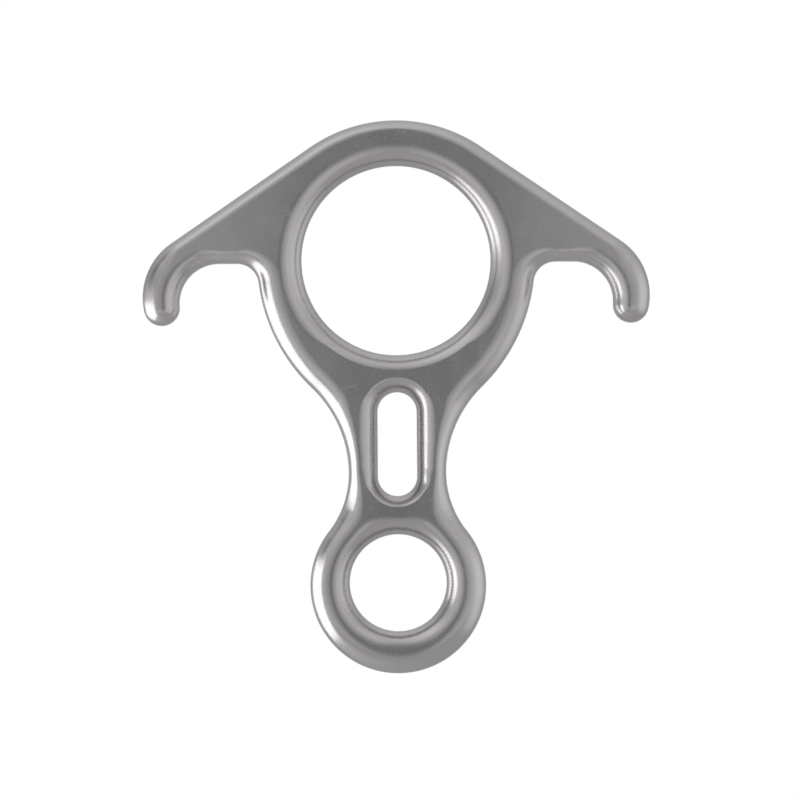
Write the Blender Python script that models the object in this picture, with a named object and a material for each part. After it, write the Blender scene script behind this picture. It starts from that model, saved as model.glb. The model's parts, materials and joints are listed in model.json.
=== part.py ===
"""Figure eight descender with ears, one forged piece.

It stands upright in the XZ plane with its front to -Y, the rope ring up and the small eye down.
The origin is the centre of the small eye, halfway through the thickness.
"""
import math

import bmesh
import bpy
import numpy as np

MM = 0.001

# Thickness of the forging, front face to back face.
THICKNESS = 12.5

# Rope ring: the large hole and the metal around it.
RING_HOLE_RADIUS = 25.0
CROWN_WALL = 12.2
CROWN_RADIUS = 40.1
FLANK_WALL = 11.8
FLANK_OFFSET = 9.9

# Small eye for the carabiner.
EYE_HOLE_RADIUS = 12.8
EYE_WALL = 10.5
EYE_RING_DROP = 0.7
CENTRE_DISTANCE = 85.3

# Neck and its slot.
SLOT_WIDTH = 10.3
NECK_WALL = 7.8
WAIST_HEIGHT = 29.1
WEB_ABOVE_SLOT = 9.9
WEB_BELOW_SLOT = 10.2

# Wings and ears.
BODY_WIDTH = 134.4
WING_SLOPE = 34.3
SHOULDER_RADIUS = 17.4
EAR_DROP = 16.9
EAR_TIP_RADIUS = 4.8
NOTCH_DROP = 0.6
NOTCH_ROOF = 4.8
CORNER_RADIUS = 5.7

# Rounded edges: how far each rounding reaches in from the edge.
ROPE_ROUNDING = 6.3
FLANK_ROUNDING = 5.6
WING_ROUNDING = 3.1
ROOF_ROUNDING = 3.6
WEB_ROUNDING = 4.1
SLOT_ROUNDING = 5.2
SLOT_TOP_ROUNDING = 4.0
SLOT_FOOT_ROUNDING = 2.9

# Where two roundings meet on a narrow member: the flat left between them, the slot's share of the
# wall beside it, and how fast a rounding may grow along its edge.
RIDGE_FLAT = 0.6
EVEN_SHARE = 0.5
SLOT_SHARE = 0.61
SWELL = 0.33

# The smaller roundings beside the webs reach this angle each way from straight down in the rope
# ring, and from straight up and down in the slot.
WEB_HALF_ANGLE = 40.0
SLOT_END_HALF_ANGLE = 60.0

# Facets: how far a chord may cut off an arc, the longest step and the steps round an edge.
CHORD_ERROR = 0.03
LONGEST_STEP = 3.0
ROUNDING_STEPS = 5

# Two points nearer than this are one, in metres.
WELD = 0.00001

# Only edge points further into the metal than this limit a rounding.
AHEAD = 0.000001


def angle_of(direction):
    """Angle of a direction in the XZ plane, in radians."""
    return math.atan2(direction[1], direction[0])


def toward(start, end):
    """Unit vector from one point to another."""
    step = np.subtract(end, start)
    return step / np.linalg.norm(step)


def arc(centre, radius, start, end, solid_inside):
    """Points along an arc, each with the direction into the metal. The end point is left out."""
    step = min(2 * math.acos(1 - CHORD_ERROR / radius), LONGEST_STEP / radius)
    count = max(1, math.ceil(abs(end - start) / step))
    turns = start + (end - start) * np.arange(count) / count
    outward = np.column_stack([np.cos(turns), np.sin(turns)])
    points = np.asarray(centre) + radius * outward
    return points, -outward if solid_inside else outward


def line(start, end, inward):
    """Points along a straight edge, each with the direction into the metal. The end point is left out."""
    start = np.asarray(start, float)
    end = np.asarray(end, float)
    count = max(1, math.ceil(np.linalg.norm(end - start) / LONGEST_STEP))
    share = (np.arange(count) / count)[:, None]
    return start + (end - start) * share, np.tile(inward, (count, 1))


def stretch(edge, rounding, share=EVEN_SHARE, bead=0.0):
    """An edge with the rounding wanted, its share of a narrow wall, and 1 where it is a bead."""
    points, inward = edge
    return points, inward, *(np.full(len(points), value) for value in (rounding, share, bead))


def joined(stretches):
    """Stretches that follow each other, as one edge."""
    return [np.concatenate(columns) for columns in zip(*stretches)]


def neck_arc(waist, circle, radius):
    """Centre and radius of the arc that leaves the waist upright and touches a circle."""
    across = waist - circle[0]
    along = WAIST_HEIGHT - circle[1]
    size = (across ** 2 + along ** 2 - radius ** 2) / (2 * (radius - across))
    return np.array([waist + size, WAIST_HEIGHT]), size


def right_half():
    """The right half of the outline, from the top of the crown down to the foot of the small eye.

    Every stretch meets the next one in a tangent, so the radii that aren't given are worked out here.
    """
    # The crown is one arc over the rope ring, and the wing's edge leaves it in a straight line.
    crown_top = CENTRE_DISTANCE + RING_HOLE_RADIUS + CROWN_WALL
    crown = np.array([0.0, crown_top - CROWN_RADIUS])
    slope = math.radians(WING_SLOPE)
    wing_out = np.array([math.sin(slope), math.cos(slope)])
    wing_start = crown + CROWN_RADIUS * wing_out

    # The shoulder touches the wing's edge and the widest point of the body.
    shoulder_x = BODY_WIDTH / 2 - SHOULDER_RADIUS
    run = shoulder_x - wing_start[0]
    shoulder_z = wing_start[1] - (SHOULDER_RADIUS + run * wing_out[0]) / wing_out[1]
    shoulder = np.array([shoulder_x, shoulder_z])
    wing_end = shoulder + SHOULDER_RADIUS * wing_out

    # The ear's round tip lies inside the shoulder's circle.
    tip_z = CENTRE_DISTANCE - EAR_DROP + EAR_TIP_RADIUS
    reach = SHOULDER_RADIUS - EAR_TIP_RADIUS
    tip = np.array([shoulder_x + math.sqrt(reach ** 2 - (tip_z - shoulder_z) ** 2), tip_z])

    # The flank's arc has its centre across the axis, at the height of the rope ring's centre.
    flank = np.array([-FLANK_OFFSET, CENTRE_DISTANCE])
    flank_radius = RING_HOLE_RADIUS + FLANK_WALL + FLANK_OFFSET

    # The notch under the wing: a corner beside the flank, a short straight roof and the ear's hook.
    roof_z = CENTRE_DISTANCE - NOTCH_DROP
    corner_z = roof_z - CORNER_RADIUS
    corner_x = flank[0] + math.sqrt((flank_radius + CORNER_RADIUS) ** 2 - (flank[1] - corner_z) ** 2)
    corner = np.array([corner_x, corner_z])
    gap = tip[0] - corner_x - NOTCH_ROOF
    rise = roof_z - tip_z
    hook_radius = (gap ** 2 + rise ** 2 - EAR_TIP_RADIUS ** 2) / (2 * (rise + EAR_TIP_RADIUS))
    hook = np.array([corner_x + NOTCH_ROOF, roof_z - hook_radius])

    # The neck is narrowest at the waist, where two arcs meet: one comes down from the flank
    # and the other runs out into the eye's ring.
    ring = np.array([0.0, -EYE_RING_DROP])
    ring_radius = EYE_HOLE_RADIUS + EYE_WALL
    waist = SLOT_WIDTH / 2 + NECK_WALL
    upper, upper_radius = neck_arc(waist, flank, flank_radius)
    lower, lower_radius = neck_arc(waist, ring, ring_radius)

    # Where one arc hands over to the next.
    full_turn = 2 * math.pi
    up = math.pi / 2
    wing_turn = angle_of(wing_out)
    shoulder_end = angle_of(toward(shoulder, tip))
    tip_end = angle_of(toward(tip, hook))
    while tip_end > shoulder_end:
        tip_end -= full_turn
    hook_start = angle_of(toward(hook, tip))
    corner_end = angle_of(toward(corner, flank)) % full_turn
    flank_turns = [angle_of(toward(flank, point)) for point in (corner, upper)]
    upper_start = angle_of(toward(upper, flank)) % full_turn
    lower_end = angle_of(toward(lower, ring)) % full_turn
    ring_start = angle_of(toward(ring, lower))

    # Beside the slot the neck gets the smaller part of the wall, and below it an even one.
    beside_slot = 1 - SLOT_SHARE
    lower_neck = arc(lower, lower_radius, math.pi, lower_end, False)
    slot_foot = EYE_HOLE_RADIUS + WEB_BELOW_SLOT
    share = np.interp(lower_neck[0][:, 1], [slot_foot, WAIST_HEIGHT], [EVEN_SHARE, beside_slot])
    return joined([
        stretch(arc(crown, CROWN_RADIUS, up, wing_turn, True), WING_ROUNDING),
        stretch(line(wing_start, wing_end, -wing_out), WING_ROUNDING),
        stretch(arc(shoulder, SHOULDER_RADIUS, wing_turn, shoulder_end, True), ROPE_ROUNDING),
        stretch(arc(tip, EAR_TIP_RADIUS, shoulder_end, tip_end, True), ROPE_ROUNDING),
        stretch(arc(hook, hook_radius, hook_start, up, False), ROPE_ROUNDING),
        stretch(line((hook[0], roof_z), (corner_x, roof_z), (0.0, 1.0)), ROOF_ROUNDING),
        stretch(arc(corner, CORNER_RADIUS, up, corner_end, False), FLANK_ROUNDING),
        stretch(arc(flank, flank_radius, *flank_turns, True), FLANK_ROUNDING),
        stretch(arc(upper, upper_radius, upper_start, math.pi, False), FLANK_ROUNDING, beside_slot),
        stretch(lower_neck, FLANK_ROUNDING, share),
        stretch(arc(ring, ring_radius, ring_start, -up, True), ROPE_ROUNDING),
    ])


def outline():
    """The whole outline: the right half, the foot of the eye and the right half mirrored."""
    points, inward, *rest = right_half()
    foot = np.array([[0.0, -EYE_RING_DROP - EYE_HOLE_RADIUS - EYE_WALL]])
    mirror = np.array([-1.0, 1.0])
    points = np.concatenate([points, foot, points[:0:-1] * mirror])
    inward = np.concatenate([inward, [[0.0, 1.0]], inward[:0:-1] * mirror])
    return [points, inward, *(np.concatenate([column, column[-1:], column[:0:-1]]) for column in rest)]


def rope_hole():
    """The edge of the rope ring's hole."""
    edge = arc((0.0, CENTRE_DISTANCE), RING_HOLE_RADIUS, 0.0, 2 * math.pi, False)
    beside_web = -edge[1][:, 1] > math.cos(math.radians(WEB_HALF_ANGLE))
    return stretch(edge, np.where(beside_web, WEB_ROUNDING, ROPE_ROUNDING), bead=1.0)


def eye_hole():
    """The edge of the small eye's hole."""
    return stretch(arc((0.0, 0.0), EYE_HOLE_RADIUS, 0.0, 2 * math.pi, False), ROPE_ROUNDING)


def slot_hole():
    """The edge of the slot in the neck: two half circles and two straight sides."""
    radius = SLOT_WIDTH / 2
    top = CENTRE_DISTANCE - RING_HOLE_RADIUS - WEB_ABOVE_SLOT - radius
    foot = EYE_HOLE_RADIUS + WEB_BELOW_SLOT + radius
    points, inward = joined([
        arc((0.0, top), radius, 0.0, math.pi, False),
        line((-radius, top), (-radius, foot), (-1.0, 0.0)),
        arc((0.0, foot), radius, math.pi, 2 * math.pi, False),
        line((radius, foot), (radius, top), (1.0, 0.0)),
    ])
    near_end = math.cos(math.radians(SLOT_END_HALF_ANGLE))
    rounding = np.where(inward[:, 1] > near_end, SLOT_TOP_ROUNDING, SLOT_ROUNDING)
    rounding = np.where(-inward[:, 1] > near_end, SLOT_FOOT_ROUNDING, rounding)
    bead = np.clip(abs(inward[:, 1]) / near_end, 0.0, 1.0)
    return stretch((points, inward), rounding, SLOT_SHARE, bead)


def rounding_widths(edges):
    """How far the rounding reaches in from each edge point.

    It is the width wanted there, or less where the metal is narrow: a share of the wall, which is
    twice the largest circle that fits in the metal, less half of the flat left between two roundings.
    """
    everything = np.vstack([edge[0] for edge in edges])
    widths = []
    for points, inward, wanted, share, bead in edges:
        gap = everything[None, :, :] - points[:, None, :]
        depth = (gap * inward[:, None, :]).sum(axis=2)
        square = (gap ** 2).sum(axis=2)
        ahead = depth > AHEAD
        fits = np.where(ahead, square / (2 * np.where(ahead, depth, 1.0)), np.inf).min(axis=1)
        width = np.minimum(wanted, 2 * fits * share - RIDGE_FLAT / 2)
        apart = np.linalg.norm(points[None, :, :] - points[:, None, :], axis=2)
        widths.append((width[None, :] + SWELL * apart).min(axis=1))
    return widths


def lift(inset, width, bead):
    """How far a rounding has risen at an inset, as a share of half the thickness.

    It is a quarter ellipse. A bead is the arc of a circle that the flat face cuts off.
    """
    half = THICKNESS / 2
    ellipse = np.sqrt(1 - (1 - inset / width) ** 2)
    circle = np.sqrt(inset * (width + half ** 2 / width - inset)) / half
    return ellipse + bead * (circle - ellipse)


def add_front_half(mesh, edges):
    """The front half of the body: rounded edges from mid-thickness forward, and the flat face."""
    rims = []
    for (points, inward, wanted, share, bead), width in zip(edges, rounding_widths(edges)):
        previous = None
        for step in range(ROUNDING_STEPS + 1):
            inset = width * (1 - math.cos(math.pi / 2 * step / ROUNDING_STEPS))
            place = points + inward * inset[:, None]
            depth = -THICKNESS / 2 * lift(inset, width, bead)
            verts = [mesh.verts.new((x * MM, y * MM, z * MM)) for (x, z), y in zip(place, depth)]
            loop = [mesh.edges.new((vert, verts[index - 1])) for index, vert in enumerate(verts)]
            if previous:
                bmesh.ops.bridge_loops(mesh, edges=previous + loop)
            previous = loop
        rims.extend(previous)
    bmesh.ops.triangle_fill(mesh, use_beauty=True, edges=rims, normal=(0.0, -1.0, 0.0))


def aluminium():
    """Bright tumbled aluminium alloy."""
    material = bpy.data.materials.new("forged_aluminium")
    material.use_nodes = True
    shader = material.node_tree.nodes["Principled BSDF"]
    shader.inputs["Base Color"].default_value = (0.62, 0.62, 0.61, 1.0)
    shader.inputs["Metallic"].default_value = 1.0
    shader.inputs["Roughness"].default_value = 0.32
    return material


def build():
    """Make the descender as one closed body."""
    for thing in list(bpy.data.objects):
        bpy.data.objects.remove(thing, do_unlink=True)
    edges = [outline(), rope_hole(), slot_hole(), eye_hole()]
    mesh = bmesh.new()
    add_front_half(mesh, edges)
    bmesh.ops.recalc_face_normals(mesh, faces=mesh.faces)
    for face in mesh.faces:
        face.smooth = True
    data = bpy.data.meshes.new("descender_body")
    mesh.to_mesh(data)
    mesh.free()
    body = bpy.data.objects.new("descender_body", data)
    bpy.context.scene.collection.objects.link(body)
    body.data.materials.append(aluminium())

    # The back half is the front half mirrored at mid-thickness.
    back = body.modifiers.new("back_half", "MIRROR")
    back.use_axis = (False, True, False)
    back.use_mirror_merge = True
    back.merge_threshold = WELD


build()
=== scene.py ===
# %% [markdown]
# A rescue figure eight is one forging: a big ring that the rope bends round, two wings with curled
# ears, a slotted neck and a small eye for the carabiner. Nothing on it moves, so the whole scene is
# one body, one metal, and the light that lets a shiny metal show its shape.

import json
import math

import bmesh
import bpy
import numpy as np
from mathutils import Euler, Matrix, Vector
from mathutils.geometry import delaunay_2d_cdt

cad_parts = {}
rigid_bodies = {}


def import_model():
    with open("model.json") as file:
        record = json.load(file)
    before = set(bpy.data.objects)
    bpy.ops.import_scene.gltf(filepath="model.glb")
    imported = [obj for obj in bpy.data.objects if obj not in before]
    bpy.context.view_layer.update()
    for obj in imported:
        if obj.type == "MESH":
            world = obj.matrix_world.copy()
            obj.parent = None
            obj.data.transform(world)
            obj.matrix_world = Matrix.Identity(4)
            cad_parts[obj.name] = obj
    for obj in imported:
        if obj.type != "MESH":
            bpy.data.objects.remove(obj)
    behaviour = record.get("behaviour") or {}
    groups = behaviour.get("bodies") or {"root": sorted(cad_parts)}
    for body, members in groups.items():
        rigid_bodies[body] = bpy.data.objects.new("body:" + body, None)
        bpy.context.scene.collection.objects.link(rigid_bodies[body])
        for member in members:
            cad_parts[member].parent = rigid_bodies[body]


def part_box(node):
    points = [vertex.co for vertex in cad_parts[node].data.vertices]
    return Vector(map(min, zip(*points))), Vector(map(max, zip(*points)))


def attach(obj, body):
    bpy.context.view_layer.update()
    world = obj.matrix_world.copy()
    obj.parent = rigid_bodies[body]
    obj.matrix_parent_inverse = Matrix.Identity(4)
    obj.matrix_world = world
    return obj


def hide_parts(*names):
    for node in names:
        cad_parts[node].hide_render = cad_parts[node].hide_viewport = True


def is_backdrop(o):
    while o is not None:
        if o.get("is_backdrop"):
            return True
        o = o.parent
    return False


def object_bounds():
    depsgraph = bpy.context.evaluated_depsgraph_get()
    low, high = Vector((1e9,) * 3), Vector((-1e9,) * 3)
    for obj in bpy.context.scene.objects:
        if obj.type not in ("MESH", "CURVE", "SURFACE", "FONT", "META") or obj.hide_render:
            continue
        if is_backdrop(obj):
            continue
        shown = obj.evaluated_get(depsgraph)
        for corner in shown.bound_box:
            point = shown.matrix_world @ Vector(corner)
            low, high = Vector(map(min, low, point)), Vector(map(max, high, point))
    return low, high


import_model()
cad_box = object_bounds()
print("solid, mm:", [round(1000 * (high - low), 2) for low, high in zip(*cad_box)])

# %% [markdown]
# The outline of a forging is drawn with straight lines and arcs that run into each other without a
# corner, because a die is cut that way. So the sizes here are the ones on such a drawing: radii,
# walls and distances in millimetres. Only the overall width and the thickness are read from the
# solid, which keeps the fine surface on it.

# %% Sizes in millimetres
MM = 0.001
solid_low, solid_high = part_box("descender_body")
BODY_WIDTH = (solid_high.x - solid_low.x) / MM
THICKNESS = (solid_high.y - solid_low.y) / MM

RING_HOLE_RADIUS = 25.0
CROWN_WALL = 12.2
CROWN_RADIUS = 40.1
FLANK_WALL = 11.8
FLANK_OFFSET = 9.9
EYE_HOLE_RADIUS = 12.8
EYE_WALL = 10.5
EYE_RING_DROP = 0.7
CENTRE_DISTANCE = 85.3
SLOT_WIDTH = 10.3
NECK_WALL = 7.8
WAIST_HEIGHT = 29.1
WEB_ABOVE_SLOT = 9.9
WEB_BELOW_SLOT = 10.2
WING_SLOPE = 34.3
SHOULDER_RADIUS = 17.4
EAR_DROP = 16.9
EAR_TIP_RADIUS = 4.8
NOTCH_DROP = 0.6
NOTCH_ROOF = 4.8
CORNER_RADIUS = 5.7
print(f"body {BODY_WIDTH:.1f} mm wide and {THICKNESS:.1f} mm thick")

# %% [markdown]
# How far each rounded edge reaches in is what the eye reads first, because a polished rounding
# carries a bright band as wide as itself. Where rope runs, the edge is as round as the metal allows.
# The wing's top edge is only broken, and beside the thin webs the bead of the hole is cut short.

# %% How far each rounding reaches in, in millimetres
ROPE_ROUNDING = 6.3
FLANK_ROUNDING = 5.6
WING_ROUNDING = 3.1
ROOF_ROUNDING = 3.6
WEB_ROUNDING = 4.1
SLOT_ROUNDING = 5.2
SLOT_TOP_ROUNDING = 4.0
SLOT_FOOT_ROUNDING = 2.9
RIDGE_FLAT = 0.3
SWELL = 0.33
WEB_HALF_ANGLE = 40.0
SLOT_END_HALF_ANGLE = 60.0
EVEN_SHARE = 0.5
SLOT_SHARE = 0.61

# The fine mesh: spacing along an edge, steps round it, the soft foot of a bead and the web's grid.
EDGE_STEP = 0.5
ROUNDING_STEPS = 12
FOOT = 0.3
WEB_STEP = 1.1
SLIVER = 0.0001
MERGE_MM = 1e-7
print("narrowest and widest rounding asked for:", WING_ROUNDING, "and", ROPE_ROUNDING, "mm")

# %% [markdown]
# Each stretch of the outline is an arc or a line that hands over to the next in a common tangent.
# Each point also knows which way the metal lies, so the rounding can be laid inwards from it.

# %% Arcs and lines, each point with its way into the metal
def angle_of(direction):
    return math.atan2(direction[1], direction[0])


def toward(start, end):
    step = np.subtract(end, start)
    return step / np.linalg.norm(step)


def arc(centre, radius, start, end, solid_inside):
    """Points along an arc. The end point is left to the next stretch."""
    count = max(2, math.ceil(abs(end - start) * radius / EDGE_STEP))
    turns = start + (end - start) * np.arange(count) / count
    outward = np.column_stack([np.cos(turns), np.sin(turns)])
    points = np.asarray(centre) + radius * outward
    return points, -outward if solid_inside else outward


def line(start, end, inward):
    start = np.asarray(start, float)
    end = np.asarray(end, float)
    count = max(1, math.ceil(np.linalg.norm(end - start) / EDGE_STEP))
    share = (np.arange(count) / count)[:, None]
    return start + (end - start) * share, np.tile(inward, (count, 1))


def stretch(edge, rounding, share=EVEN_SHARE, bead=0.0):
    """An edge with its rounding, its share of a narrow wall, and 1 where it is a round bead."""
    points, inward = edge
    return points, inward, *(np.full(len(points), value) for value in (rounding, share, bead))


def joined(stretches):
    return [np.concatenate(columns) for columns in zip(*stretches)]


quarter = arc((0.0, 0.0), RING_HOLE_RADIUS, 0.0, math.pi / 2, False)
print("a quarter of the rope hole:", len(quarter[0]), "points")


# %% [markdown]
# The right half of the outline runs from the crown over the wing, round the ear and its hook, down
# the flank and the neck to the foot of the small eye. The left half is its mirror image.

# %% The outline
def neck_arc(waist, circle, radius):
    """The arc that leaves the waist upright and touches a circle: its centre and radius."""
    across = waist - circle[0]
    along = WAIST_HEIGHT - circle[1]
    size = (across ** 2 + along ** 2 - radius ** 2) / (2 * (radius - across))
    return np.array([waist + size, WAIST_HEIGHT]), size


def right_half():
    crown_top = CENTRE_DISTANCE + RING_HOLE_RADIUS + CROWN_WALL
    crown = np.array([0.0, crown_top - CROWN_RADIUS])
    slope = math.radians(WING_SLOPE)
    wing_out = np.array([math.sin(slope), math.cos(slope)])
    wing_start = crown + CROWN_RADIUS * wing_out

    shoulder_x = BODY_WIDTH / 2 - SHOULDER_RADIUS
    run = shoulder_x - wing_start[0]
    shoulder_z = wing_start[1] - (SHOULDER_RADIUS + run * wing_out[0]) / wing_out[1]
    shoulder = np.array([shoulder_x, shoulder_z])
    wing_end = shoulder + SHOULDER_RADIUS * wing_out

    tip_z = CENTRE_DISTANCE - EAR_DROP + EAR_TIP_RADIUS
    reach = SHOULDER_RADIUS - EAR_TIP_RADIUS
    tip = np.array([shoulder_x + math.sqrt(reach ** 2 - (tip_z - shoulder_z) ** 2), tip_z])

    flank = np.array([-FLANK_OFFSET, CENTRE_DISTANCE])
    flank_radius = RING_HOLE_RADIUS + FLANK_WALL + FLANK_OFFSET
    roof_z = CENTRE_DISTANCE - NOTCH_DROP
    corner_z = roof_z - CORNER_RADIUS
    corner_x = flank[0] + math.sqrt((flank_radius + CORNER_RADIUS) ** 2 - (flank[1] - corner_z) ** 2)
    corner = np.array([corner_x, corner_z])
    gap = tip[0] - corner_x - NOTCH_ROOF
    rise = roof_z - tip_z
    hook_radius = (gap ** 2 + rise ** 2 - EAR_TIP_RADIUS ** 2) / (2 * (rise + EAR_TIP_RADIUS))
    hook = np.array([corner_x + NOTCH_ROOF, roof_z - hook_radius])

    ring = np.array([0.0, -EYE_RING_DROP])
    ring_radius = EYE_HOLE_RADIUS + EYE_WALL
    waist = SLOT_WIDTH / 2 + NECK_WALL
    upper, upper_radius = neck_arc(waist, flank, flank_radius)
    lower, lower_radius = neck_arc(waist, ring, ring_radius)

    half_turn = math.pi
    full_turn = 2 * math.pi
    up = half_turn / 2
    wing_turn = angle_of(wing_out)
    shoulder_end = angle_of(toward(shoulder, tip))
    tip_end = angle_of(toward(tip, hook))
    while tip_end > shoulder_end:
        tip_end -= full_turn
    hook_start = angle_of(toward(hook, tip))
    corner_end = angle_of(toward(corner, flank)) % full_turn
    flank_turns = [angle_of(toward(flank, point)) for point in (corner, upper)]
    upper_start = angle_of(toward(upper, flank)) % full_turn
    lower_end = angle_of(toward(lower, ring)) % full_turn
    beside_slot = 1 - SLOT_SHARE
    lower_neck = arc(lower, lower_radius, half_turn, lower_end, False)
    slot_foot = EYE_HOLE_RADIUS + WEB_BELOW_SLOT
    share = np.interp(lower_neck[0][:, 1], [slot_foot, WAIST_HEIGHT], [EVEN_SHARE, beside_slot])
    return joined([
        stretch(arc(crown, CROWN_RADIUS, up, wing_turn, True), WING_ROUNDING),
        stretch(line(wing_start, wing_end, -wing_out), WING_ROUNDING),
        stretch(arc(shoulder, SHOULDER_RADIUS, wing_turn, shoulder_end, True), ROPE_ROUNDING),
        stretch(arc(tip, EAR_TIP_RADIUS, shoulder_end, tip_end, True), ROPE_ROUNDING),
        stretch(arc(hook, hook_radius, hook_start, up, False), ROPE_ROUNDING),
        stretch(line((hook[0], roof_z), (corner_x, roof_z), (0.0, 1.0)), ROOF_ROUNDING),
        stretch(arc(corner, CORNER_RADIUS, up, corner_end, False), FLANK_ROUNDING),
        stretch(arc(flank, flank_radius, *flank_turns, True), FLANK_ROUNDING),
        stretch(arc(upper, upper_radius, upper_start, half_turn, False), FLANK_ROUNDING, beside_slot),
        stretch(lower_neck, FLANK_ROUNDING, share),
        stretch(arc(ring, ring_radius, lower_end - half_turn, -up, True), ROPE_ROUNDING),
    ])


def outline():
    half = right_half()
    foot = np.array([[0.0, -EYE_RING_DROP - EYE_HOLE_RADIUS - EYE_WALL]])
    mirror = np.array([-1.0, 1.0])
    points = np.concatenate([half[0], foot, half[0][:0:-1] * mirror])
    inward = np.concatenate([half[1], [[0.0, 1.0]], half[1][:0:-1] * mirror])
    rest = [np.concatenate([column, column[-1:], column[:0:-1]]) for column in half[2:]]
    return [points, inward, *rest]


edges = {"outline": outline()}
print("outline:", len(edges["outline"][0]), "points")

# %% [markdown]
# The three openings follow the same pattern. The rope hole and the ends of the slot have a bead, an
# arc of a circle that the flat web cuts off. Elsewhere the rounding runs out level with the face.

# %% The rope hole, the slot and the small eye
def rope_hole():
    edge = arc((0.0, CENTRE_DISTANCE), RING_HOLE_RADIUS, 0.0, 2 * math.pi, False)
    beside_web = -edge[1][:, 1] > math.cos(math.radians(WEB_HALF_ANGLE))
    return stretch(edge, np.where(beside_web, WEB_ROUNDING, ROPE_ROUNDING), bead=1.0)


def slot_hole():
    radius = SLOT_WIDTH / 2
    top = CENTRE_DISTANCE - RING_HOLE_RADIUS - WEB_ABOVE_SLOT - radius
    foot = EYE_HOLE_RADIUS + WEB_BELOW_SLOT + radius
    points, inward = joined([
        arc((0.0, top), radius, 0.0, math.pi, False),
        line((-radius, top), (-radius, foot), (-1.0, 0.0)),
        arc((0.0, foot), radius, math.pi, 2 * math.pi, False),
        line((radius, foot), (radius, top), (1.0, 0.0)),
    ])
    near_end = math.cos(math.radians(SLOT_END_HALF_ANGLE))
    rounding = np.where(inward[:, 1] > near_end, SLOT_TOP_ROUNDING, SLOT_ROUNDING)
    rounding = np.where(-inward[:, 1] > near_end, SLOT_FOOT_ROUNDING, rounding)
    bead = np.clip(abs(inward[:, 1]) / near_end, 0.0, 1.0)
    return stretch((points, inward), rounding, SLOT_SHARE, bead)


edges["rope_hole"] = rope_hole()
edges["slot"] = slot_hole()
eye_circle = arc((0.0, 0.0), EYE_HOLE_RADIUS, 0.0, 2 * math.pi, False)
edges["eye"] = stretch(eye_circle, ROPE_ROUNDING)
print({name: len(columns[0]) for name, columns in edges.items()})

# %% [markdown]
# On a narrow member two roundings meet. How wide each may be is found with the largest circle that
# touches the edge at a point and fits in the metal: a wall of two such radii is shared out, and a
# thin flat ridge is left between. A rounding may also only swell gently along its edge.

# %% How wide each rounding is, point by point
AHEAD = 1e-6


def rounding_widths(edges):
    everything = np.vstack([columns[0] for columns in edges.values()])
    widths = {}
    for name, (points, inward, wanted, share, bead) in edges.items():
        gap = everything[None, :, :] - points[:, None, :]
        depth = (gap * inward[:, None, :]).sum(axis=2)
        square = (gap ** 2).sum(axis=2)
        ahead = depth > AHEAD
        fits = np.where(ahead, square / (2 * np.where(ahead, depth, 1.0)), np.inf).min(axis=1)
        width = np.minimum(wanted, 2 * fits * share - RIDGE_FLAT / 2)
        apart = np.linalg.norm(points[None, :, :] - points[:, None, :], axis=2)
        widths[name] = (width[None, :] + SWELL * apart).min(axis=1)
    return widths


widths = rounding_widths(edges)
print({name: (round(width.min(), 2), round(width.max(), 2)) for name, width in widths.items()})

# %% [markdown]
# The blank is the whole shape pressed flat: rings of points that follow every edge inwards, then a
# fine even grid over the webs. The rings lie closest at the edge, where the rounding is steepest.

# %% Rings along the edges, and a grid for the webs
def blank_points():
    """Rings round every edge, as (points, inset, reach, bead) for each ring, edge by edge."""
    turns = np.linspace(0.0, math.pi / 2, ROUNDING_STEPS + 1)
    for name, (points, inward, wanted, share, bead) in edges.items():
        width = widths[name]
        insets = [width * (1 - math.cos(turn)) for turn in turns]
        insets.append(width + np.minimum(FOOT, RIDGE_FLAT / 3))
        yield name, [(points + inward * inset[:, None], inset, width, bead) for inset in insets]


def inside(points, loop):
    """Which points lie inside a closed loop, by counting its crossings to the right."""
    x, z = points[:, 0][:, None], points[:, 1][:, None]
    start, end = loop, np.roll(loop, -1, axis=0)
    spans = (start[:, 1] > z) != (end[:, 1] > z)
    rise = np.where(end[:, 1] == start[:, 1], 1.0, end[:, 1] - start[:, 1])
    crossing = start[:, 0] + (z - start[:, 1]) * (end[:, 0] - start[:, 0]) / rise
    return (spans & (crossing > x)).sum(axis=1) % 2 == 1


def web_grid(loops):
    """Points of a triangular grid that lie on the webs, clear of the innermost rings."""
    low, high = loops["outline"].min(axis=0), loops["outline"].max(axis=0)
    rows = np.arange(low[1], high[1], WEB_STEP * math.sqrt(3) / 2)
    columns = np.arange(low[0], high[0], WEB_STEP)
    shift = (np.arange(len(rows)) % 2) * WEB_STEP / 2
    points = np.array([(x + move, z) for z, move in zip(rows, shift) for x in columns])
    on_web = inside(points, loops["outline"])
    for name in ("rope_hole", "slot", "eye"):
        on_web &= ~inside(points, loops[name])
    points = points[on_web]
    rim = np.vstack(list(loops.values()))
    nearest = np.array([np.linalg.norm(rim - point, axis=1).min() for point in points])
    return points[nearest > WEB_STEP / 2]


print("rings:", sum(len(rings) for name, rings in blank_points()))

# %% [markdown]
# Now the rings become strips of faces, and the web between the innermost rings is filled with
# triangles. Each point carries how far in it lies, how wide its rounding is and how much of a bead
# it is. Those three numbers are all that the next step needs to raise it.

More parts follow.
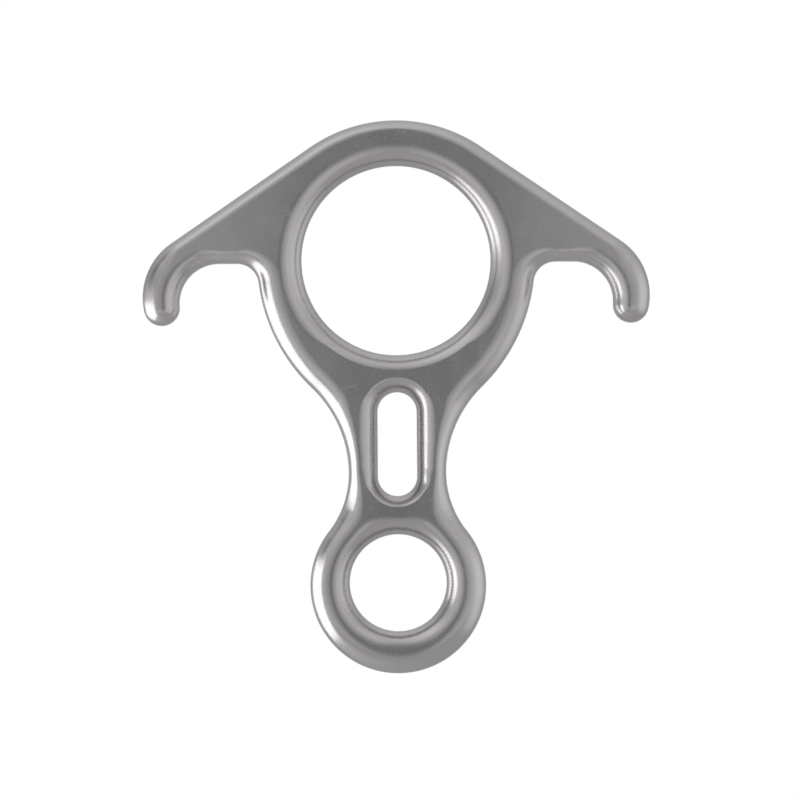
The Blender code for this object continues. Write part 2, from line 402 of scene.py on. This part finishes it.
# %% The flat blank
def web_faces(loops, grid):
    """The triangles of the webs, as numbers of the rims' points and then of the grid's."""
    flat = [Vector(point) for name in loops for point in loops[name]] + [Vector(p) for p in grid]
    borders = []
    first = 0
    for name in loops:
        count = len(loops[name])
        borders += [(first + index, first + (index + 1) % count) for index in range(count)]
        first += count
    places, _, faces, sources = delaunay_2d_cdt(flat, borders, [], 0, MERGE_MM)[:4]
    corners = np.array([[places[index] for index in face] for face in faces])
    centres = corners.mean(axis=1)
    along, across = corners[:, 1] - corners[:, 0], corners[:, 2] - corners[:, 0]
    longest = np.max([np.hypot(*side.T) for side in (along, across, across - along)], axis=0)
    on_web = abs(along[:, 0] * across[:, 1] - along[:, 1] * across[:, 0]) > SLIVER * longest
    on_web &= inside(centres, loops["outline"])
    for name in ("rope_hole", "slot", "eye"):
        on_web &= ~inside(centres, loops[name])
    return [[sources[i][0] for i in face] for face, keep in zip(faces, on_web) if keep]


def flat_blank():
    mesh = bmesh.new()
    layers = {name: mesh.verts.layers.float.new(name) for name in ("inset", "reach", "bead")}
    loops = {}
    rims = {}
    for name, rings in blank_points():
        previous = None
        for points, *columns in rings:
            verts = [mesh.verts.new((x * MM, 0.0, z * MM)) for x, z in points]
            for layer, column in zip(layers.values(), columns):
                for vert, value in zip(verts, column):
                    vert[layer] = value
            if previous:
                for index in range(len(verts)):
                    before = index - 1
                    mesh.faces.new((previous[before], previous[index], verts[index], verts[before]))
            previous = verts
        rims[name] = previous
        loops[name] = points
    grid = web_grid(loops)
    verts = [vert for name in loops for vert in rims[name]]
    for x, z in grid:
        vert = mesh.verts.new((x * MM, 0.0, z * MM))
        vert[layers["inset"]] = 1.0
        vert[layers["reach"]] = 1.0
        verts.append(vert)
    for face in web_faces(loops, grid):
        mesh.faces.new([verts[index] for index in face])
    bmesh.ops.recalc_face_normals(mesh, faces=mesh.faces)
    if sum(face.normal.y * face.calc_area() for face in mesh.faces) > 0:
        bmesh.ops.reverse_faces(mesh, faces=mesh.faces)
    data = bpy.data.meshes.new("flat_blank")
    mesh.to_mesh(data)
    mesh.free()
    blank = bpy.data.objects.new("flat_blank", data)
    bpy.context.scene.collection.objects.link(blank)
    return blank


blank = flat_blank()
print("blank:", len(blank.data.vertices), "points,", len(blank.data.polygons), "faces")

# %% [markdown]
# One helper adds a node with its settings and links, which keeps every tree below short. A sum of
# many nodes is written as a list of steps: a name, the kind of node, its setting and its inputs.
# Where an input is a word, it stands for the result of an earlier step.

# %% One helper for nodes, sums as steps, and sRGB colours
MATH = "ShaderNodeMath"
RAMP = "ShaderNodeMapRange"
BLEND = "ShaderNodeMix"
SETTING = {MATH: "operation", RAMP: "interpolation_type", BLEND: "data_type"}


def add_node(tree, kind, inputs=(), **settings):
    """Adds a node. Inputs come in order or by name: a socket is linked, None is left alone."""
    node = tree.nodes.new(kind)
    for name, value in settings.items():
        setattr(node, name, value)
    for name, value in inputs.items() if isinstance(inputs, dict) else enumerate(inputs):
        if isinstance(value, bpy.types.NodeSocket):
            tree.links.new(value, node.inputs[name])
        elif value is not None:
            node.inputs[name].default_value = value
    return node


def add_steps(tree, known, steps):
    """Adds a sum's nodes in order, and keeps each result in known under its name."""
    for name, kind, setting, *inputs in steps:
        inputs = [known[value] if isinstance(value, str) else value for value in inputs]
        known[name] = add_node(tree, kind, inputs, **{SETTING[kind]: setting}).outputs[0]


def from_hex(code):
    """A colour written as sRGB hex, in the linear values that nodes take."""
    parts = [int(code[i:i + 2], 16) / 255 for i in (1, 3, 5)]
    linear = [c / 12.92 if c <= 0.04045 else ((c + 0.055) / 1.055) ** 2.4 for c in parts]
    return (*linear, 1.0)


print("middle grey, linear:", round(from_hex("#808080")[0], 3))

# %% [markdown]
# Geometry Nodes raise the blank, because the whole forging follows one rule. A rounding is a
# quarter ellipse, or where a bead is wanted the arc of a circle that stands upright at
# mid-thickness. The back is the front mirrored, as in a two-part die, and both halves are welded
# along the parting line.

# %% The tree that raises the blank
WELD = 0.000001


def forging_tree():
    tree = bpy.data.node_groups.new("forge_from_blank", "GeometryNodeTree")
    face = tree.interface
    face.new_socket("Blank", in_out="INPUT", socket_type="NodeSocketGeometry")
    face.new_socket("Thickness", in_out="INPUT", socket_type="NodeSocketFloat")
    face.new_socket("Weld", in_out="INPUT", socket_type="NodeSocketFloat")
    face.new_socket("Metal", in_out="INPUT", socket_type="NodeSocketMaterial")
    face.new_socket("Forging", in_out="OUTPUT", socket_type="NodeSocketGeometry")
    given = add_node(tree, "NodeGroupInput").outputs
    known = {"thickness": given["Thickness"]}
    for name in ("inset", "reach", "bead"):
        stored = add_node(tree, "GeometryNodeInputNamedAttribute", {"Name": name})
        known[name] = stored.outputs[0]
    add_steps(tree, known, [
        ("half", MATH, "MULTIPLY", "thickness", 0.5),
        ("within", MATH, "MINIMUM", "inset", "reach"),
        # Quarter ellipse: height share = sqrt(1 - (1 - inset / reach)^2).
        ("share", MATH, "DIVIDE", "within", "reach"),
        ("left", MATH, "SUBTRACT", 1.0, "share"),
        ("left_square", MATH, "MULTIPLY", "left", "left"),
        ("square", MATH, "SUBTRACT", 1.0, "left_square"),
        ("ellipse", MATH, "SQRT", "square"),
        # Bead: the circle through the edge and the web has the diameter (reach^2 + half^2) / reach.
        ("reach_square", MATH, "MULTIPLY", "reach", "reach"),
        ("half_square", MATH, "MULTIPLY", "half", "half"),
        ("squares", MATH, "ADD", "reach_square", "half_square"),
        ("diameter", MATH, "DIVIDE", "squares", "reach"),
        ("rest", MATH, "SUBTRACT", "diameter", "within"),
        ("product", MATH, "MULTIPLY", "within", "rest"),
        ("chord", MATH, "SQRT", "product"),
        ("round_bead", MATH, "DIVIDE", "chord", "half"),
        ("lift", BLEND, "FLOAT", "bead", None, "ellipse", "round_bead"),
        ("height", MATH, "MULTIPLY", "half", "lift"),
        ("forward", MATH, "MULTIPLY", "height", -MM),
    ])
    offset = add_node(tree, "ShaderNodeCombineXYZ", {"Y": known["forward"]}).outputs[0]
    raised = {"Geometry": given["Blank"], "Offset": offset}
    front = add_node(tree, "GeometryNodeSetPosition", raised).outputs[0]
    turned = {"Geometry": front, "Scale": (1.0, -1.0, 1.0)}
    mirrored = add_node(tree, "GeometryNodeTransform", turned).outputs[0]
    back = add_node(tree, "GeometryNodeFlipFaces", {"Mesh": mirrored}).outputs[0]
    both = add_node(tree, "GeometryNodeJoinGeometry")
    for half_body in (front, back):
        tree.links.new(half_body, both.inputs[0])
    halves = {"Geometry": both.outputs[0], "Distance": given["Weld"]}
    welded = add_node(tree, "GeometryNodeMergeByDistance", halves)
    smooth = add_node(tree, "GeometryNodeSetShadeSmooth", {"Geometry": welded.outputs[0]})
    solid = add_node(tree, "GeometryNodeRealizeInstances", {"Geometry": smooth.outputs[0]})
    finish = {"Geometry": solid.outputs[0], "Material": given["Metal"]}
    dressed = add_node(tree, "GeometryNodeSetMaterial", finish)
    add_node(tree, "NodeGroupOutput", {"Forging": dressed.outputs[0]})
    return tree


forge_tree = forging_tree()
print("forging tree:", len(forge_tree.nodes), "nodes")

# %% [markdown]
# The metal is a forged aluminium alloy that was tumbled and polished. It gives a soft mirror: it
# shows lamps as broad bands and wavers a little, because a tumbled face is never quite flat.
# Handling has dulled it in faint clouds and left hair-fine scratches that cross each other.

# %% Polished forged aluminium
# Each pattern is a noise, given by its size in millimetres, its detail and its roughness. Clouds are
# as wide as a fingertip and the waver about as wide as a rim. The grain of tumbling is finer than
# the picture can show, so it is drawn coarser, at a third of a millimetre.
PATTERNS = {"clouds": (14.0, 4.0, 0.6), "wave": (9.0, 1.0, 0.5), "grit": (0.35, 2.0, 0.5)}
WORN_PATCH = PATTERNS["clouds"][0] / 3

# Scratches run in three ways, 1.6 mm apart and nine times as long, each a few hundredths wide.
SCRATCH_SPACING = 1.6
SCRATCH_STRETCH = 9.0
SCRATCH_SHARE = 0.012
SCRATCH_TURNS = (0.35, 1.25, 2.30)

# How high each pattern stands, in millimetres. Scratches are cut in, so theirs is turned over.
RELIEF = {"wave": 0.06, "grit": 0.001, "scratches": 0.003}


def add_scratches(tree, known):
    """A scratch is where a noise that is stretched along one way passes its middle value."""
    known["scratches"] = 0.0
    for turn in SCRATCH_TURNS:
        turned = add_node(tree, "ShaderNodeVectorRotate", {"Vector": known["place"], "Angle": turn},
                          rotation_type="Y_AXIS").outputs[0]
        long = add_node(tree, "ShaderNodeVectorMath", (turned, (1 / SCRATCH_STRETCH, 1.0, 1.0)),
                        operation="MULTIPLY").outputs[0]
        noises = {"lines": (long, SCRATCH_SPACING, 0.0), "patches": (turned, WORN_PATCH, 1.0)}
        for name, (vector, size, detail) in noises.items():
            settings = {"Vector": vector, "Scale": 1 / (size * MM), "Detail": detail}
            known[name] = add_node(tree, "ShaderNodeTexNoise", settings).outputs["Fac"]
        add_steps(tree, known, [
            ("off", MATH, "SUBTRACT", "lines", 0.5),
            ("off", MATH, "ABSOLUTE", "off"),
            ("line", RAMP, "LINEAR", "off", 0.0, SCRATCH_SHARE, 1.0, 0.0),
            ("worn", RAMP, "LINEAR", "patches", 0.5, 0.62, 0.0, 1.0),
            ("line", MATH, "MULTIPLY", "line", "worn"),
            ("scratches", MATH, "MAXIMUM", "scratches", "line"),
        ])


def polished_forged_aluminium():
    metal = bpy.data.materials.new("polished_forged_aluminium")
    metal.use_nodes = True
    tree = metal.node_tree
    shader = tree.nodes["Principled BSDF"]
    known = {"place": add_node(tree, "ShaderNodeTexCoord").outputs["Object"]}
    for name, (size, detail, rough) in PATTERNS.items():
        settings = {"Vector": known["place"], "Scale": 1 / (size * MM), "Detail": detail,
                    "Roughness": rough}
        known[name] = add_node(tree, "ShaderNodeTexNoise", settings).outputs["Fac"]
    add_scratches(tree, known)
    add_steps(tree, known, [
        ("tone", RAMP, "LINEAR", "clouds", 0.3, 0.7, 0.0, 1.0),
        ("dull", RAMP, "LINEAR", "clouds", 0.35, 0.7, 0.235, 0.275),
        ("grain", RAMP, "LINEAR", "grit", 0.3, 0.7, -0.015, 0.015),
        ("scored", MATH, "MULTIPLY", "scratches", 0.10),
        ("rough", MATH, "ADD", "dull", "grain"),
        ("rough", MATH, "ADD", "rough", "scored"),
    ])
    colours = {0: known["tone"], 6: from_hex("#CECBCB"), 7: from_hex("#D5D2D2")}
    colour = add_node(tree, BLEND, colours, data_type="RGBA").outputs[2]
    normal = None
    for name, height in RELIEF.items():
        relief = {"Strength": 1.0, "Distance": height * MM, "Height": known[name], "Normal": normal}
        normal = add_node(tree, "ShaderNodeBump", relief, invert=name == "scratches").outputs[0]
    tree.links.new(colour, shader.inputs["Base Color"])
    tree.links.new(known["rough"], shader.inputs["Roughness"])
    tree.links.new(normal, shader.inputs["Normal"])
    shader.inputs["Metallic"].default_value = 1.0
    return metal


metal = polished_forged_aluminium()
print("metal:", len(metal.node_tree.nodes), "nodes, scratches in", len(SCRATCH_TURNS), "ways")

# %% [markdown]
# The modifier's inputs are set by identifier before the blank is first evaluated. The result is
# copied out as a plain mesh, the blank is removed, and the new body stands for the solid.

# %% Raise the blank and put it in the solid's place
def raised_body(tree):
    blank.data.materials.append(metal)
    forge = blank.modifiers.new("forge", "NODES")
    forge.node_group = tree
    values = {"Thickness": THICKNESS, "Weld": WELD, "Metal": metal}
    for item in tree.interface.items_tree:
        if item.name in values:
            forge[item.identifier] = values[item.name]
    evaluated = blank.evaluated_get(bpy.context.evaluated_depsgraph_get())
    data = bpy.data.meshes.new_from_object(evaluated)
    body = bpy.data.objects.new("forged_body", data)
    bpy.context.scene.collection.objects.link(body)
    bpy.data.objects.remove(blank, do_unlink=True)
    bpy.data.node_groups.remove(tree)
    return body


body = raised_body(forge_tree)
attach(body, "root")
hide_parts("descender_body")
triangles = sum(len(face.vertices) - 2 for face in body.data.polygons)
print("body:", triangles, "triangles of", [material.name for material in body.data.materials])

# %% [markdown]
# The photograph looks straight at the front with a long lens, so the rings stay true circles. The
# object leans a fraction of a degree to the left in it, which a roll of the camera repeats.

# %% The camera
SENSOR = 36.0
CAMERA_DISTANCE = 2500.0
PICTURE_WIDTH = 211.9
AIM_X = 0.8
AIM_Z = 48.4
LEAN = 0.41


def straight_on_camera():
    data = bpy.data.cameras.new("camera")
    data.sensor_width = SENSOR
    data.lens = SENSOR * CAMERA_DISTANCE / PICTURE_WIDTH
    camera = bpy.data.objects.new("camera", data)
    camera.location = (AIM_X * MM, -CAMERA_DISTANCE * MM, AIM_Z * MM)
    camera.rotation_euler = Euler((math.pi / 2, math.radians(LEAN), 0.0), "YXZ")
    bpy.context.scene.collection.objects.link(camera)
    bpy.context.scene.camera = camera
    return camera


camera = straight_on_camera()
print("lens:", round(camera.data.lens, 1), "mm")

# %% [markdown]
# A polished metal shows the room more than itself. Here the room is a small photographic set: a
# tall lamp close on the left, and two wide soft boxes in front with a gap for the camera between
# them. The flat webs mirror that gap, so they are dark in the middle and lighter on the wings.

# %% Soft lamps
def soft_lamp(name, place, aim, size, radiance):
    """An area lamp of a given size in metres, as bright as a surface of that radiance."""
    data = bpy.data.lights.new(name, "AREA")
    data.shape = "RECTANGLE"
    data.size, data.size_y = size
    data.energy = radiance * math.pi * size[0] * size[1]
    lamp = bpy.data.objects.new(name, data)
    lamp.location = place
    lamp.rotation_euler = (Vector(aim) - Vector(place)).to_track_quat("-Z", "Y").to_euler()
    lamp.visible_camera = False
    bpy.context.scene.collection.objects.link(lamp)
    return lamp


BOX_GAP = 0.074
BOX_SIZE = (0.210, 0.480)
BOX_X = (BOX_GAP + BOX_SIZE[0]) / 2

# Each lamp is its place, what it points at, its width and height in metres, and its radiance.
LAMPS = {
    "left_lamp": ((-0.215, 0.013, -0.064), (0.0, 0.013, -0.064), (0.268, 0.262), 1.25),
    "left_box": ((-BOX_X, -0.230, 0.120), (-BOX_X, 0.0, 0.120), BOX_SIZE, 0.22),
    "right_box": ((BOX_X, -0.230, 0.120), (BOX_X, 0.0, 0.120), BOX_SIZE, 0.22),
}
for name, (place, aim, size, radiance) in LAMPS.items():
    print(name, round(soft_lamp(name, place, aim, size, radiance).data.energy, 3), "W")

# %% [markdown]
# The walls of the set are grey, lighter overhead, and they glow low down on both sides. In front,
# round the camera, the room is dark. Matt surfaces get an even, plain light from the same room, at
# which a colour looks as it is written, and the camera sees a white background.

# %% The room that the metal mirrors
WHITE = (1.0, 1.0, 1.0, 1.0)
WALL_GREY = 0.38
FRONT_GREY = 0.17
MATT_LIGHT = 0.85

# Walls and glow: x, y and z say which way the metal looks, -1 to 1.
WALLS = [
    ("overhead", RAMP, "SMOOTHSTEP", "z", 0.2, 1.0, 0.0, 0.25),
    ("grey", MATH, "ADD", "overhead", WALL_GREY),
    ("left", MATH, "MULTIPLY", "x", -1.0),
    ("left_wall", RAMP, "SMOOTHSTEP", "left", 0.50, 1.02, 0.0, 0.25),
    ("left_low", RAMP, "SMOOTHSTEP", "z", 0.09, 0.26, 1.0, 0.0),
    ("left_glow", MATH, "MULTIPLY", "left_wall", "left_low"),
    ("right_wall", RAMP, "SMOOTHSTEP", "x", 0.55, 1.05, 0.0, 0.40),
    ("right_low", RAMP, "SMOOTHSTEP", "z", 0.2, 0.77, 1.0, 0.0),
    ("right_glow", MATH, "MULTIPLY", "right_wall", "right_low"),
    ("glow", MATH, "ADD", "left_glow", "right_glow"),
    ("not_behind", RAMP, "SMOOTHSTEP", "y", 0.5, 1.0, 1.0, 0.0),
    ("glow", MATH, "MULTIPLY", "glow", "not_behind"),
    ("grey", MATH, "ADD", "grey", "glow"),
]

# Soft patches: which way they lie, how wide they are and how much light they add or take away.
# The first is a pale stretch of ceiling on the left, the second the dark gap above the left lamp.
PATCHES = (((-0.58, -0.14, 0.80), 0.1, 0.25), ((-0.85, 0.09, 0.52), 0.026, -0.40))

# The dark front, the white background behind, and who sees what.
FRONT_AND_BACK = [
    ("ahead", MATH, "MULTIPLY", "y", -1.0),
    ("facing", RAMP, "SMOOTHSTEP", "ahead", 0.0, 0.2, 0.0, 1.0),
    ("ahead", MATH, "MAXIMUM", "ahead", 0.001),
    ("aside", MATH, "ABSOLUTE", "x"),
    ("sideways", MATH, "DIVIDE", "aside", "ahead"),
    ("upward", MATH, "DIVIDE", "z", "ahead"),
    ("middle", RAMP, "SMOOTHSTEP", "sideways", 0.10, 1.20, 1.0, 0.0),
    ("above", RAMP, "SMOOTHSTEP", "upward", -0.60, -0.09, 0.0, 1.0),
    ("below", RAMP, "SMOOTHSTEP", "upward", 0.10, 3.0, 1.0, 0.0),
    ("dark", MATH, "MULTIPLY", "middle", "above"),
    ("dark", MATH, "MULTIPLY", "dark", "below"),
    ("dark", MATH, "MULTIPLY", "dark", "facing"),
    ("grey", BLEND, "FLOAT", "dark", None, "grey", FRONT_GREY),
    ("behind", RAMP, "SMOOTHSTEP", "y", 0.93, 0.985, 0.0, 1.0),
    ("seen", BLEND, "FLOAT", "behind", None, "grey", 1.0),
    # What comes through a hole by way of its own wall is weaker.
    ("twice", MATH, "GREATER_THAN", "bounce", 1.5),
    ("loss", RAMP, "SMOOTHSTEP", "y", -0.1, 0.3, 0.0, 0.6),
    ("loss", MATH, "MULTIPLY", "twice", "loss"),
    ("kept", MATH, "SUBTRACT", 1.0, "loss"),
    ("seen", MATH, "MULTIPLY", "seen", "kept"),
    ("strength", BLEND, "FLOAT", "glossy", None, MATT_LIGHT, "seen"),
    ("direct", MATH, "MAXIMUM", "camera", "glass"),
    ("strength", BLEND, "FLOAT", "direct", None, "strength", 1.0),
]


def room():
    world = bpy.data.worlds.new("studio")
    bpy.context.scene.world = world
    world.use_nodes = True
    tree = world.node_tree
    tree.nodes.clear()
    way = add_node(tree, "ShaderNodeTexCoord").outputs["Generated"]
    known = dict(zip("xyz", add_node(tree, "ShaderNodeSeparateXYZ", (way,)).outputs))
    path = add_node(tree, "ShaderNodeLightPath").outputs
    known["camera"] = path["Is Camera Ray"]
    known["glass"] = path["Is Transmission Ray"]
    known["glossy"] = path["Is Glossy Ray"]
    known["bounce"] = path["Glossy Depth"]
    add_steps(tree, known, WALLS)
    for towards, width, light in PATCHES:
        ways = (way, Vector(towards).normalized())
        dot = add_node(tree, "ShaderNodeVectorMath", ways, operation="DOT_PRODUCT")
        known["dot"] = dot.outputs["Value"]
        add_steps(tree, known, [
            ("fall", MATH, "SUBTRACT", "dot", 1.0),
            ("fall", MATH, "DIVIDE", "fall", width),
            ("fall", MATH, "EXPONENT", "fall"),
            ("patch", MATH, "MULTIPLY", "fall", light),
            ("grey", MATH, "ADD", "grey", "patch"),
        ])
    add_steps(tree, known, FRONT_AND_BACK)
    lit = {"Color": WHITE, "Strength": known["strength"]}
    light = add_node(tree, "ShaderNodeBackground", lit)
    add_node(tree, "ShaderNodeOutputWorld", {"Surface": light.outputs[0]})
    return world


print("room:", len(room().node_tree.nodes), "nodes")

# %% [markdown]
# The floor is a pale sheet well below the hanging part. Seen directly it is white but for the soft
# shadow, and in the metal it is a plain grey-lit floor.

# %% The floor
FLOOR_Z = -0.21
FLOOR_HALF = 0.3
SHADOW_REACH = 0.22
PAPER_GREY = "#B0B0B0"
PAPER_ROUGHNESS = 0.9


def floor():
    data = bpy.data.meshes.new("floor")
    sides = ((-1, -1), (1, -1), (1, 1), (-1, 1))
    corners = [(x * FLOOR_HALF, y * FLOOR_HALF, FLOOR_Z) for x, y in sides]
    data.from_pydata(corners, [], [(0, 1, 2, 3)])
    sheet = bpy.data.objects.new("floor", data)
    bpy.context.scene.collection.objects.link(sheet)
    sheet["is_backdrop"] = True

    paper = bpy.data.materials.new("matt_white_paper")
    paper.use_nodes = True
    tree = paper.node_tree
    shader = tree.nodes["Principled BSDF"]
    shader.inputs["Base Color"].default_value = from_hex(PAPER_GREY)
    shader.inputs["Roughness"].default_value = PAPER_ROUGHNESS
    shader.inputs["Specular IOR Level"].default_value = 0.0
    shade = add_node(tree, "ShaderNodeAmbientOcclusion", {"Distance": SHADOW_REACH}, samples=8)
    white = add_node(tree, "ShaderNodeEmission", {"Color": shade.outputs["Color"], "Strength": 1.0})

    path = add_node(tree, "ShaderNodeLightPath").outputs
    seen = (path["Is Camera Ray"], path["Is Transmission Ray"])
    direct = add_node(tree, MATH, seen, operation="MAXIMUM").outputs[0]
    mixed = add_node(tree, "ShaderNodeMixShader", (direct, shader.outputs[0], white.outputs[0]))
    tree.links.new(mixed.outputs[0], tree.nodes["Material Output"].inputs["Surface"])
    data.materials.append(paper)
    return sheet


print("floor:", floor().name, "at", FLOOR_Z, "m")

# %% Colours as they are, and the sizes of the solid and the visible model
bpy.context.scene.view_settings.view_transform = "Standard"
sizes = {
    "cad": [list(corner) for corner in cad_box],
    "visual": [list(corner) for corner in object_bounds()],
}
for name, (low, high) in sizes.items():
    print(name, [round(1000 * (b - a), 2) for a, b in zip(low, high)])
